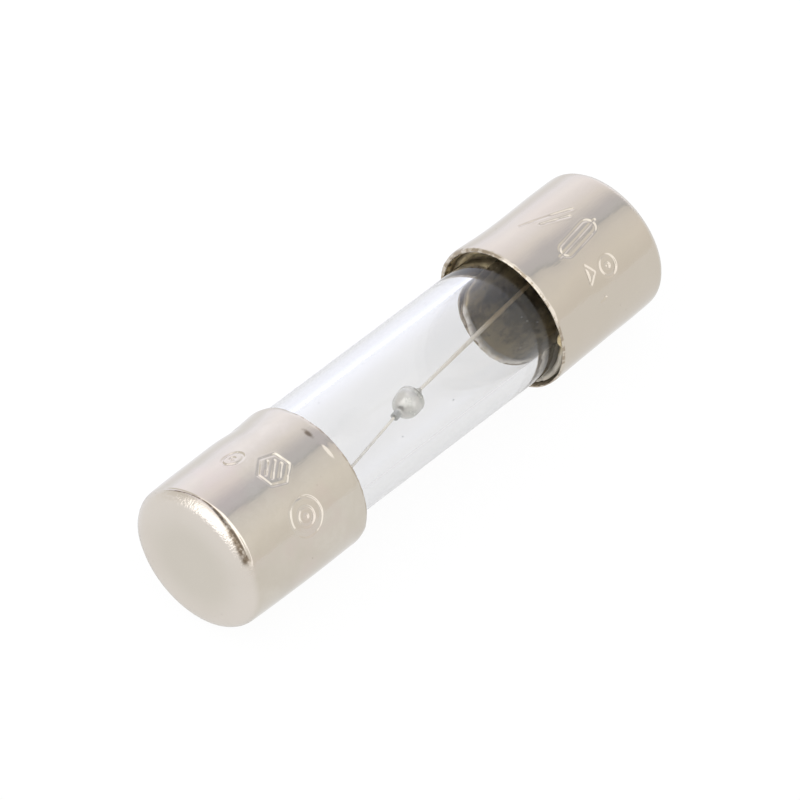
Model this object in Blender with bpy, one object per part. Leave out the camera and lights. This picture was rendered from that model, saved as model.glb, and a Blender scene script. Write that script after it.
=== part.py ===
"""Glass cartridge fuse, 5 x 20 mm, with a tin bead on its fuse wire.

Units are metres. The origin is the middle of the fuse's axis, +X runs along the
axis from the near cap to the far cap, and +Z is up. Every turned piece is made
of the same flat facets, with one of them facing straight down, so the fuse lies
on a flat and the clearance between two turned pieces is the same all round.
"""

import math

import bmesh
import bpy
from mathutils import Matrix, Vector

MM = 0.001

# Overall size
HALF_LENGTH = 10.0 * MM
CAP_MOUTH_RADIUS = 2.6 * MM
CAP_CLOSED_RADIUS = 2.55 * MM
NEAR_CAP_LENGTH = 5.3 * MM
FAR_CAP_LENGTH = 5.2 * MM

# Drawn cups
CAP_WALL = 0.2 * MM
CAP_EDGE_RADIUS = 0.5 * MM
CAP_LIP_RADIUS = 0.07 * MM

# Glass
GLASS_RADIUS = 2.22 * MM
GLASS_BORE_RADIUS = 1.64 * MM
GLASS_HALF_LENGTH = 9.25 * MM
GLASS_EDGE_RADIUS = 0.14 * MM

# Solder and cement
SOLDER_DOME_HEIGHT = 0.45 * MM
SOLDER_PLUG_HEIGHT = 0.2 * MM
CEMENT_SETBACK = 0.75 * MM
CEMENT_END = 8.9 * MM
CEMENT_MENISCUS = 0.12 * MM

# Fuse wire and bead
WIRE_NEAR_RADIUS = 0.055 * MM
WIRE_FAR_RADIUS = 0.07 * MM
WIRE_HOOK_RADIUS = 0.26 * MM
WIRE_HOOK_REACH = 2.0 * MM
BEAD_RADIUS = 0.5 * MM
BEAD_HALF_LENGTH = 0.52 * MM
BEAD_NOSE_LENGTH = 0.26 * MM
BEAD_NOSE_RADIUS = 0.17 * MM
# The wire leans off the axis: sideways is towards HANG, across is at right angles to it.
HANG = Vector((0.0, -0.827, -0.562))
ACROSS = Vector((0.0, -0.562, 0.827))
BEAD_CENTRE = Vector((0.06 * MM, 0.0, 0.0)) + 0.22 * MM * HANG
NEAR_EXIT = Vector((-8.7 * MM, 0.0, 0.0)) + 1.52 * MM * HANG
FAR_EXIT = Vector((8.7 * MM, 0.0, 0.0)) - 0.56 * MM * HANG - 1.41 * MM * ACROSS

GAP = 0.05 * MM
SIDES = 32
ARC_STEPS = 4
LIP_STEPS = 3
WIRE_SIDES_RESOLUTION = 2
WIRE_STEPS = 4
HOOK_STEPS = 5
BEAD_STEPS = 12
BEAD_SIDES = 16
SMOOTH_ANGLE = math.radians(35.0)
WELD = 0.0001 * MM


def clear_scene():
    for old in list(bpy.data.objects):
        bpy.data.objects.remove(old, do_unlink=True)


def principled(name, colour, metallic, roughness, transmission=0.0):
    material = bpy.data.materials.new(name)
    material.use_nodes = True
    shader = material.node_tree.nodes["Principled BSDF"]
    shader.inputs["Base Color"].default_value = (*colour, 1.0)
    shader.inputs["Metallic"].default_value = metallic
    shader.inputs["Roughness"].default_value = roughness
    shader.inputs["Transmission Weight"].default_value = transmission
    return material


def arc(centre, radius, start, end, steps=ARC_STEPS):
    """Points (along, out) on an arc, from the start angle to the end angle in degrees."""
    points = []
    for step in range(steps + 1):
        angle = math.radians(start + (end - start) * step / steps)
        along = centre[0] + radius * math.cos(angle)
        out = centre[1] + radius * math.sin(angle)
        points.append((along, out))
    return points


def turned(name, outline, material, ring=False, sides=SIDES):
    """Spin an outline of (along X, radius) points about X; a ring's outline is a closed loop."""
    facet = 1.0 / math.cos(math.pi / sides)
    phase = math.pi / sides
    mesh = bmesh.new()
    corners = []
    for along, radius in outline:
        out = radius * facet
        corners.append(mesh.verts.new((along, out * math.sin(phase), -out * math.cos(phase))))
    pairs = list(zip(corners, corners[1:]))
    if ring:
        pairs.append((corners[-1], corners[0]))
    edges = [mesh.edges.new(pair) for pair in pairs]
    bmesh.ops.spin(
        mesh,
        geom=corners + edges,
        cent=(0.0, 0.0, 0.0),
        axis=(1.0, 0.0, 0.0),
        angle=2.0 * math.pi,
        steps=sides,
        use_merge=True,
    )
    bmesh.ops.remove_doubles(mesh, verts=mesh.verts, dist=WELD)
    bmesh.ops.recalc_face_normals(mesh, faces=mesh.faces)
    return finished(name, mesh, material)


def finished(name, mesh, material):
    data = bpy.data.meshes.new(name)
    mesh.to_mesh(data)
    mesh.free()
    data.shade_smooth()
    data.set_sharp_from_angle(angle=SMOOTH_ANGLE)
    data.materials.append(material)
    piece = bpy.data.objects.new(name, data)
    bpy.context.collection.objects.link(piece)
    return piece


def facing(outline, side):
    """An outline drawn with its closed end towards +X, turned to face the side, +1 or -1."""
    return [(side * along, radius) for along, radius in outline]


def end_cap(name, length, side, material):
    """A drawn cup, slightly wider at its mouth, with a rounded closed edge and a rounded lip."""
    end = HALF_LENGTH
    mouth = end - length
    inner_end = end - CAP_WALL
    inner_edge = CAP_EDGE_RADIUS - CAP_WALL
    outline = [(end, 0.0)]
    edge_centre = (end - CAP_EDGE_RADIUS, CAP_CLOSED_RADIUS - CAP_EDGE_RADIUS)
    lip_centre = (mouth + CAP_LIP_RADIUS, CAP_MOUTH_RADIUS - CAP_LIP_RADIUS)
    outline += arc(edge_centre, CAP_EDGE_RADIUS, 0, 90)
    outline += arc(lip_centre, CAP_LIP_RADIUS, 90, 180, LIP_STEPS)
    outline.append((mouth, CAP_MOUTH_RADIUS - CAP_WALL))
    outline += arc(edge_centre, inner_edge, 90, 0)
    outline.append((inner_end, 0.0))
    return turned(name, facing(outline, side), material)


def glass_tube(material):
    """A thick-walled tube whose ends are melted to a round edge, inside and out."""
    end = GLASS_HALF_LENGTH
    round_edge = GLASS_EDGE_RADIUS
    outer = arc((end - round_edge, GLASS_RADIUS - round_edge), round_edge, 90, 0, LIP_STEPS)
    inner = arc((end - round_edge, GLASS_BORE_RADIUS + round_edge), round_edge, 0, -90, LIP_STEPS)
    half = outer + inner
    other_half = [(-along, radius) for along, radius in reversed(half)]
    return turned("glass_tube", half + other_half, material, ring=True)


def solder_pool(name, side, route, material):
    """A disc of solder in the cap's bottom, domed into the glass bore, grooved for the wire's end."""
    bottom = HALF_LENGTH - CAP_WALL - GAP
    top = GLASS_HALF_LENGTH + GAP
    corner = CAP_EDGE_RADIUS - CAP_WALL - GAP
    out = CAP_CLOSED_RADIUS - CAP_WALL - GAP
    plug = GLASS_BORE_RADIUS - GAP
    plug_top = top - SOLDER_PLUG_HEIGHT
    dome_top = plug_top - SOLDER_DOME_HEIGHT
    outline = [(bottom, 0.0)]
    outline += arc((bottom - corner, out - corner), corner, 0, 90)
    outline.append((top, out))
    outline.append((top, plug + GLASS_EDGE_RADIUS))
    outline.append((top - GLASS_EDGE_RADIUS, plug))
    for step in range(ARC_STEPS + 1):
        angle = 0.5 * math.pi * step / ARC_STEPS
        along = plug_top + (dome_top - plug_top) * math.sin(angle)
        outline.append((along, plug * math.cos(angle)))
    pool = turned(name, facing(outline, side), material)
    groove = pool.modifiers.new("wire_groove", "BOOLEAN")
    groove.operation = "DIFFERENCE"
    groove.solver = "EXACT"
    groove.object = solid_copy(wire_curve(name + "_groove", route, GAP))
    return pool


def solid_copy(curve):
    """The swept curve as a hidden mesh, because a Boolean cuts only with a mesh."""
    depsgraph = bpy.context.evaluated_depsgraph_get()
    data = bpy.data.meshes.new_from_object(curve.evaluated_get(depsgraph))
    name = curve.name
    bpy.data.objects.remove(curve, do_unlink=True)
    cutter = bpy.data.objects.new(name, data)
    cutter.hide_render = True
    cutter.display_type = "WIRE"
    bpy.context.collection.objects.link(cutter)
    return cutter


def cement_ring(name, length, side, material):
    """A thin sleeve of cement between the glass and the cap, with a hollow edge at the mouth."""
    mouth = HALF_LENGTH - length + CEMENT_SETBACK
    inside = GLASS_RADIUS + GAP
    taper = (CAP_MOUTH_RADIUS - CAP_CLOSED_RADIUS) / (length - CAP_EDGE_RADIUS)
    outside_mouth = CAP_MOUTH_RADIUS - CAP_WALL - GAP - taper * CEMENT_SETBACK
    outside_end = outside_mouth - taper * (CEMENT_END - mouth)
    outline = [
        (CEMENT_END, inside),
        (CEMENT_END, outside_end),
        (mouth, outside_mouth),
        (mouth + CEMENT_MENISCUS, inside),
    ]
    return turned(name, facing(outline, side), material, ring=True)


def wire_route():
    """Centre points of the wire with its radius at each: hook, diagonal, bead, diagonal, hook."""
    near = hook(NEAR_EXIT, -1.0, WIRE_NEAR_RADIUS)
    far = hook(FAR_EXIT, 1.0, WIRE_FAR_RADIUS)
    through = bead_axis() * (BEAD_HALF_LENGTH + BEAD_NOSE_LENGTH)
    near_side = BEAD_CENTRE - through
    far_side = BEAD_CENTRE + through
    route = [(point, WIRE_NEAR_RADIUS) for point in reversed(near)]
    route += run(near[0], near_side, WIRE_NEAR_RADIUS, WIRE_NEAR_RADIUS)
    route += run(near_side, far_side, WIRE_NEAR_RADIUS, WIRE_FAR_RADIUS)
    route += run(far_side, far[0], WIRE_FAR_RADIUS, WIRE_FAR_RADIUS)
    route += [(point, WIRE_FAR_RADIUS) for point in far[1:]]
    return route


def run(start, end, start_radius, end_radius):
    """Points from just after the start up to the end itself, with the radius blended along."""
    points = []
    for step in range(1, WIRE_STEPS + 1):
        share = step / WIRE_STEPS
        radius = start_radius + (end_radius - start_radius) * share
        points.append((start.lerp(end, share), radius))
    return points


def hook(exit_point, side, radius):
    """The wire's end: out of the bore, round the glass's inner edge and out along its end face."""
    outward = Vector((0.0, exit_point.y, exit_point.z)).normalized()
    along = Vector((side, 0.0, 0.0))
    reach_x = GLASS_HALF_LENGTH + GAP + radius
    start_out = math.hypot(exit_point.y, exit_point.z)
    turn_start = reach_x - WIRE_HOOK_RADIUS
    points = [exit_point]
    for step in range(HOOK_STEPS + 1):
        angle = 0.5 * math.pi * step / HOOK_STEPS
        x = turn_start + WIRE_HOOK_RADIUS * math.sin(angle)
        out = start_out + WIRE_HOOK_RADIUS * (1.0 - math.cos(angle))
        points.append(along * x + outward * out)
    points.append(along * reach_x + outward * WIRE_HOOK_REACH)
    return points


def bead_axis():
    return (FAR_EXIT - NEAR_EXIT).normalized()


def wire_curve(name, route, extra=0.0):
    """A round bar swept along the route; extra widens it, for the groove it lies in."""
    curve = bpy.data.curves.new(name, "CURVE")
    curve.dimensions = "3D"
    curve.bevel_depth = 1.0
    curve.bevel_resolution = WIRE_SIDES_RESOLUTION
    curve.use_fill_caps = True
    line = curve.splines.new("POLY")
    line.points.add(len(route) - 1)
    for point, (place, radius) in zip(line.points, route):
        point.co = (*place, 1.0)
        point.radius = radius + extra
    bar = bpy.data.objects.new(name, curve)
    bpy.context.collection.objects.link(bar)
    return bar


def tin_bead(material):
    """A round blob with a short nose towards the near cap, bored for the wire."""
    bore = WIRE_FAR_RADIUS + GAP
    start = math.asin(bore / BEAD_RADIUS)
    outline = []
    for step in range(BEAD_STEPS + 1):
        angle = start + (math.pi - 2.0 * start) * step / BEAD_STEPS
        outline.append((BEAD_HALF_LENGTH * math.cos(angle), BEAD_RADIUS * math.sin(angle)))
    nose_start = outline[-2][0]
    outline[-1] = (nose_start - 0.5 * BEAD_NOSE_LENGTH, BEAD_NOSE_RADIUS)
    outline.append((nose_start - BEAD_NOSE_LENGTH, BEAD_NOSE_RADIUS))
    outline.append((nose_start - BEAD_NOSE_LENGTH, bore))
    bead = turned("tin_bead", outline, material, ring=True, sides=BEAD_SIDES)
    turn = Vector((1.0, 0.0, 0.0)).rotation_difference(bead_axis()).to_matrix().to_4x4()
    bead.matrix_world = Matrix.Translation(BEAD_CENTRE) @ turn
    return bead


def main():
    clear_scene()
    nickel = principled("nickel_plate", (0.78, 0.75, 0.70), 1.0, 0.28)
    clear_glass = principled("clear_glass", (0.93, 0.93, 0.95), 0.0, 0.03, 1.0)
    solder = principled("solder", (0.62, 0.62, 0.60), 1.0, 0.35)
    cement = principled("cement", (0.10, 0.08, 0.06), 0.0, 0.45)
    silvered = principled("silvered_copper", (0.86, 0.78, 0.70), 1.0, 0.3)
    tin = principled("tin", (0.62, 0.65, 0.62), 1.0, 0.3)

    end_cap("end_cap_near", NEAR_CAP_LENGTH, -1, nickel)
    end_cap("end_cap_far", FAR_CAP_LENGTH, 1, nickel)
    glass_tube(clear_glass)
    cement_ring("cement_ring_near", NEAR_CAP_LENGTH, -1, cement)
    cement_ring("cement_ring_far", FAR_CAP_LENGTH, 1, cement)

    route = wire_route()
    wire = wire_curve("fuse_wire", route)
    wire.data.materials.append(silvered)
    solder_pool("solder_near", -1, route, solder)
    solder_pool("solder_far", 1, route, solder)
    tin_bead(tin)


main()
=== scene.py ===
"""The looks of the glass cartridge fuse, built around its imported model.

Everything is in the model's frame, in metres: +X runs along the fuse's axis from
the near cap to the far cap, and +Z is up. Round shapes are laid out as grids of
(along X, radius, angle about X), so that stamped marks, dents and wavy edges are
real geometry. The angle is zero on the side turned to the camera and grows
towards the side that hangs lowest in its view. Tables of small shapes are in
millimetres and degrees.
"""
import math

import bpy
import numpy as np
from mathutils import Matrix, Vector


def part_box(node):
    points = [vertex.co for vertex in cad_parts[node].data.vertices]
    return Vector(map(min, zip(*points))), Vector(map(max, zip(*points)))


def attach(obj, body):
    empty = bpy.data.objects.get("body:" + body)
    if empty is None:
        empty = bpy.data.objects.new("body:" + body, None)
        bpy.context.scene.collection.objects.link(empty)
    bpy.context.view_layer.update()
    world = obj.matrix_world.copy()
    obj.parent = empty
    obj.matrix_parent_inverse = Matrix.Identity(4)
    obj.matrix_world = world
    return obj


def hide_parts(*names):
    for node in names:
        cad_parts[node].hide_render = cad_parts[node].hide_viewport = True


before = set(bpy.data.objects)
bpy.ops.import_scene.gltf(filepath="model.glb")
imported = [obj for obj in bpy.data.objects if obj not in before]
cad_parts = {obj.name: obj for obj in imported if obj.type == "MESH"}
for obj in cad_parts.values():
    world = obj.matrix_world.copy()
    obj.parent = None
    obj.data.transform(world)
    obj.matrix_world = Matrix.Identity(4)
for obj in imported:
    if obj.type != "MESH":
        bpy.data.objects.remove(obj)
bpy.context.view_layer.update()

MM = 0.001
TAU = 2.0 * math.pi
ON_AXIS = 1e-7
TOWARDS = np.array((0.0, -0.562, 0.827))
HANGING = np.array((0.0, -0.827, -0.562))

# Sizes read from the frame
NEAR_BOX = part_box("end_cap_near")
FAR_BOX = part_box("end_cap_far")
GLASS_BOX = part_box("glass_tube")
HALF_LENGTH = FAR_BOX[1].x
CAP_RADIUS = FAR_BOX[1].z
NEAR_LENGTH = NEAR_BOX[1].x - NEAR_BOX[0].x
FAR_LENGTH = FAR_BOX[1].x - FAR_BOX[0].x
GLASS_RADIUS = GLASS_BOX[1].z
GLASS_END = GLASS_BOX[1].x

# Sizes inside the pieces
CLOSED_RADIUS = 2.55 * MM
WALL = 0.135 * MM
EDGE_RADIUS = 0.5 * MM
BORE_RADIUS = 1.64 * MM
GAP = 0.05 * MM

# Colours of the plating, bright to dirty
NICKEL = (0.611, 0.565, 0.497)
NICKEL_STAINED = (0.560, 0.512, 0.440)
NICKEL_DULL = (0.578, 0.532, 0.462)
NICKEL_BLUSH = (0.600, 0.530, 0.475)
NICKEL_FAR = (0.570, 0.515, 0.440)
NICKEL_FACE = (0.600, 0.558, 0.496)
# Painted light: the closed face's colour at its rim
NICKEL_FACE_RIM_LIT = (0.668, 0.618, 0.562)
NICKEL_GLINT = (0.90, 0.90, 0.90)
LIP_BROWN = (0.33, 0.27, 0.20)
# Dark colour for pits and a dark spot, and for the painted shade in the near rim's fold
DIRT_AND_SHADE = (0.17, 0.13, 0.09)
FLUX_DARK = (0.16, 0.13, 0.09)
FLUX_LIGHT = (0.31, 0.265, 0.20)
# A dark spot on the near barrel: its place and its reach across and along
DARK_SPOT = (-5.15 * MM, -0.55 * MM, 2.53 * MM)
DARK_SPOT_ACROSS = 0.32 * MM
DARK_SPOT_ALONG = 0.13 * MM

# Colours of the other materials
GLASS = (1.0, 1.0, 1.0)
GLASS_FILM = (0.985, 0.985, 0.988)
GLASS_SPECK = (0.30, 0.30, 0.32)
GLASS_DEPTH = (0.20, 0.20, 0.22, 1.0)
GLASS_DENSITY = 192.0
CEMENT_BROWN = (0.27, 0.21, 0.12)
CEMENT_TAN = (0.74, 0.61, 0.37)
CEMENT_LUMP = (0.24, 0.17, 0.08)
CEMENT_SPECK = (0.86, 0.80, 0.68)
CEMENT_DARK = (0.13, 0.10, 0.065)
CEMENT_DARK_TAN = (0.27, 0.215, 0.145)
CEMENT_PALE_GREY = (0.50, 0.475, 0.43)
CEMENT_CRUST = (0.86, 0.81, 0.73)
SOLDER_BRIGHT = (0.60, 0.60, 0.57)
SOLDER_FLUXED = (0.42, 0.40, 0.36)
SILVER = (1.0, 0.965, 0.89)
SILVER_WORN = (0.99, 0.92, 0.80)
WIRE_FLUXED = (0.62, 0.48, 0.29)
TIN = (0.78, 0.765, 0.72)
TIN_OXIDISED = (0.675, 0.68, 0.63)
TIN_NOSE = (0.40, 0.41, 0.40)

# The tube and the caps are not quite in line: (sideways place at X = 0 in mm, change along X)
GLASS_LEAN = (-0.046, 0.0212)
NEAR_LEAN = (0.160, 0.0180)
FAR_LEAN = (0.032, 0.0015)


# ---------------------------------------- mesh tools

def around(angle):
    """Unit vectors across the axis, at the angle measured from the camera's side."""
    angle = np.asarray(angle)[..., None]
    return np.cos(angle) * TOWARDS + np.sin(angle) * HANGING


def arc_rows(centre, radius, start, end, steps):
    """Rows (along, out) on an arc between two angles in degrees; 0 points along, 90 points out."""
    turn = np.radians(np.linspace(start, end, steps + 1))
    return [(centre[0] + radius * math.cos(a), centre[1] + radius * math.sin(a)) for a in turn]


def straight_rows(start, end, step):
    """Rows between two (along, out) points at most a step apart, without the two ends."""
    distance = math.dist(start, end)
    count = max(1, int(math.ceil(distance / step)))
    shares = [i / count for i in range(1, count)]
    return [(start[0] + (end[0] - start[0]) * s, start[1] + (end[1] - start[1]) * s) for s in shares]


def row_normals(rows):
    """The outward direction (along, out) at each row of an outline."""
    rows = np.asarray(rows)
    step = np.gradient(rows, axis=0)
    normal = np.stack((-step[:, 1], step[:, 0]), axis=1)
    return normal / np.maximum(np.linalg.norm(normal, axis=1, keepdims=True), 1e-12)


def leaned(points, lean):
    """Points moved sideways, so that their middle line is a leaning straight line: lean is the
    sideways place at X = 0 and its change along X."""
    return points + (lean[0] * MM + lean[1] * points[..., :1]) * HANGING


def turned(name, rows, angles, move=None, loop=False, lean=(0.0, 0.0)):
    """A mesh turned about X from rows (along, out). move(along, out, angle, normals) returns an
    offset along the surface normal for the whole grid. A row on the axis becomes a single point."""
    rows = np.asarray(rows, float)
    poles = rows[:, 1] < ON_AXIS
    normals = row_normals(rows)
    along, angle = np.meshgrid(rows[:, 0], angles, indexing="ij")
    out = np.repeat(rows[:, 1][:, None], len(angles), axis=1)
    if move is not None:
        offset = move(along, out, angle, normals)
        offset[poles] = offset[poles].mean()
        along = along + normals[:, 0][:, None] * offset
        out = np.maximum(out + normals[:, 1][:, None] * offset * (rows[:, 1] > ON_AXIS)[:, None], 0.0)
    points = around(angle) * out[..., None]
    points[..., 0] += along
    return grid_object(name, leaned(points, lean), poles, loop)


def grid_object(name, points, poles, loop=False):
    """A mesh object from a grid of rings. A pole ring collapses to its first point, and in a loop
    the last ring joins the first."""
    rings, sides = points.shape[:2]
    index = np.arange(rings * sides).reshape(rings, sides)
    index[poles] = index[poles][:, :1]
    pairs = [(i, i + 1) for i in range(rings - 1)]
    if loop:
        pairs.append((rings - 1, 0))
    faces = []
    for first, second in pairs:
        a, b = index[first], index[second]
        a_next, b_next = np.roll(a, -1), np.roll(b, -1)
        if poles[first]:
            faces += np.stack((a, b_next, b), axis=1).tolist()
        elif poles[second]:
            faces += np.stack((a, a_next, b), axis=1).tolist()
        else:
            faces += np.stack((a, a_next, b_next, b), axis=1).tolist()
    return mesh_object(name, points.reshape(-1, 3), faces)


def mesh_object(name, points, faces):
    """A smooth-shaded object with only the points that its faces use, facing outwards."""
    used = np.unique(np.concatenate(faces))
    place = np.full(len(points), -1)
    place[used] = np.arange(len(used))
    faces = [[int(place[i]) for i in f] for f in faces]
    data = bpy.data.meshes.new(name)
    data.from_pydata(points[used].tolist(), [], faces)
    data.update()
    if signed_volume(data) < 0.0:
        data.flip_normals()
    data.shade_smooth()
    piece = bpy.data.objects.new(name, data)
    bpy.context.collection.objects.link(piece)
    return piece


def signed_volume(data):
    """Six times the volume inside the faces, negative where they face inwards."""
    data.calc_loop_triangles()
    places = np.empty(len(data.vertices) * 3)
    data.vertices.foreach_get("co", places)
    corners = np.empty(len(data.loop_triangles) * 3, np.int32)
    data.loop_triangles.foreach_get("vertices", corners)
    a, b, c = places.reshape(-1, 3)[corners.reshape(-1, 3)].transpose(1, 0, 2)
    return float(np.einsum("ij,ij->", a, np.cross(b, c)))


def waves(x, y, seed, count, longest, shortest):
    """Smooth pseudo-random unevenness between about -1 and 1, made of a few crossed sine waves."""
    random = np.random.default_rng(seed)
    total = np.zeros_like(x)
    for _ in range(count):
        length = random.uniform(shortest, longest)
        turn = random.uniform(0.0, TAU)
        shift = random.uniform(0.0, TAU)
        total += np.sin((x * math.cos(turn) + y * math.sin(turn)) * TAU / length + shift)
    return total / math.sqrt(count)


def waves_across(out, angle, *settings):
    """Such unevenness over a plane across the axis."""
    return waves(out * np.cos(angle), out * np.sin(angle), *settings)


def waves_round(along, out, angle, seed, *settings):
    """Such unevenness over a round surface, where it joins up all the way round."""
    first = waves(along, out * np.cos(angle), seed, *settings)
    return first + waves(along, out * np.sin(angle), seed + 1, *settings)


def evenly(sides):
    """Angles spaced evenly all the way round."""
    return np.linspace(0.0, TAU, sides, endpoint=False)


def smooth(low, high, value):
    """A smooth step from 0 where the value is low to 1 where it is high."""
    share = np.clip((value - low) / (high - low), 0.0, 1.0)
    return share * share * (3.0 - 2.0 * share)


def from_angle(degrees, middle):
    """Angles in degrees measured from a middle one, between -180 and 180."""
    return np.mod(degrees - middle + 180.0, 360.0) - 180.0


def dressed(piece, material, slot, *nodes):
    """Gives a new piece its material and ties it to the frame."""
    piece.data.materials.append(material)
    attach(piece, "root")
    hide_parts(*nodes)
    return piece


# ---------------------------------------- node trees

class Graph:
    """A short way to write a node tree. Each value is a socket or a plain number."""

    def __init__(self, tree, coordinates):
        self.tree = tree
        self.place = self.add("ShaderNodeTexCoord").outputs[coordinates]

    def add(self, kind, inputs=None, **settings):
        """A new node with its settings, and with values for inputs by name or number."""
        node = self.tree.nodes.new(kind)
        for key, value in settings.items():
            setattr(node, key, value)
        for key, value in (inputs or {}).items():
            node.inputs[key].default_value = value
        return node

    def link(self, source, target):
        self.tree.links.new(source, target)

    def axes(self):
        """The place as three numbers."""
        split = self.add("ShaderNodeSeparateXYZ")
        self.link(self.place, split.inputs["Vector"])
        return [split.outputs[name] for name in "XYZ"]

    def remap(self, value, low, high, to_low=0.0, to_high=1.0):
        """A smooth step from to_low where the value is low to to_high where it is high."""
        limits = {"From Min": low, "From Max": high, "To Min": to_low, "To Max": to_high}
        node = self.add("ShaderNodeMapRange", limits, interpolation_type="SMOOTHSTEP")
        self.link(value, node.inputs["Value"])
        return node.outputs["Result"]

    def maths(self, operation, first, second=0.0):
        node = self.add("ShaderNodeMath", operation=operation)
        for socket, value in zip(node.inputs, (first, second)):
            if isinstance(value, (int, float)):
                socket.default_value = value
            else:
                self.link(value, socket)
        return node.outputs["Value"]

    def times(self, value, *others):
        for other in others:
            value = self.maths("MULTIPLY", value, other)
        return value

    def plus(self, value, *others):
        for other in others:
            value = self.maths("ADD", value, other)
        return value

    def mix(self, factor, first, second):
        """Two colours, each a tuple or a socket, mixed by a factor socket."""
        node = self.add("ShaderNodeMix", data_type="RGBA")
        self.link(factor, node.inputs["Factor"])
        targets = [socket for socket in node.inputs if socket.type == "RGBA"]
        for target, colour in zip(targets, (first, second)):
            if isinstance(colour, tuple):
                target.default_value = (*colour, 1.0)
            else:
                self.link(colour, target)
        return [socket for socket in node.outputs if socket.type == "RGBA"][0]


class Material(Graph):
    """A Principled material with patterns in the piece's own metres."""

    def __init__(self, name):
        self.material = bpy.data.materials.new(name)
        self.material.use_nodes = True
        super().__init__(self.material.node_tree, "Object")
        self.shader = self.tree.nodes["Principled BSDF"]

    def scaled(self, x, y, z):
        """The place on the piece, stretched: a pattern has x, y and z periods per metre."""
        mapping = self.add("ShaderNodeMapping", {"Scale": (x, y, z)})
        self.link(self.place, mapping.inputs["Vector"])
        return mapping.outputs["Vector"]

    def off_axis(self, y, z):
        """The distance from the fuse's axis."""
        return self.maths("SQRT", self.plus(self.times(y, y), self.times(z, z)))

    def reach(self, direction):
        """How far the place on the piece lies along a direction."""
        node = self.add("ShaderNodeVectorMath", {1: tuple(direction)}, operation="DOT_PRODUCT")
        self.link(self.place, node.inputs[0])
        return node.outputs["Value"]

    def noise(self, scale, detail=3.0, roughness=0.5, stretch=(1.0, 1.0, 1.0), distortion=0.0):
        node = self.add("ShaderNodeTexNoise", {"Scale": 1.0, "Detail": detail, "Roughness": roughness,
                                               "Distortion": distortion})
        self.link(self.scaled(*(scale * s for s in stretch)), node.inputs["Vector"])
        return node.outputs["Fac"]

    def spots(self, scale, size):
        """1 in small round spots scattered over the surface, 0 elsewhere."""
        node = self.add("ShaderNodeTexVoronoi", {"Scale": 1.0})
        self.link(self.scaled(scale, scale, scale), node.inputs["Vector"])
        return self.remap(node.outputs["Distance"], size, 0.5 * size)

    def near(self, centre, radius, along):
        """1 at a place on the piece, falling to 0 at the radius, or at the along radius in X."""
        stretch = radius / along
        place = (centre[0] * stretch, centre[1], centre[2])
        node = self.add("ShaderNodeVectorMath", {1: place}, operation="DISTANCE")
        self.link(self.scaled(stretch, 1.0, 1.0), node.inputs[0])
        return self.remap(node.outputs["Value"], radius, 0.2 * radius)

    def bump(self, height, distance, before=None):
        node = self.add("ShaderNodeBump", {"Strength": 1.0, "Distance": distance})
        self.link(height, node.inputs["Height"])
        if before is not None:
            self.link(before, node.inputs["Normal"])
        return node.outputs["Normal"]

    def set(self, **values):
        """Sets the shader's sockets by name, and returns the material."""
        for name, value in values.items():
            socket = self.shader.inputs[name.replace("_", " ")]
            if isinstance(value, tuple):
                socket.default_value = (*value, 1.0)
            elif isinstance(value, (int, float)):
                socket.default_value = value
            else:
                self.link(value, socket)
        return self.material


# ---------------------------------------- materials

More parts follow.
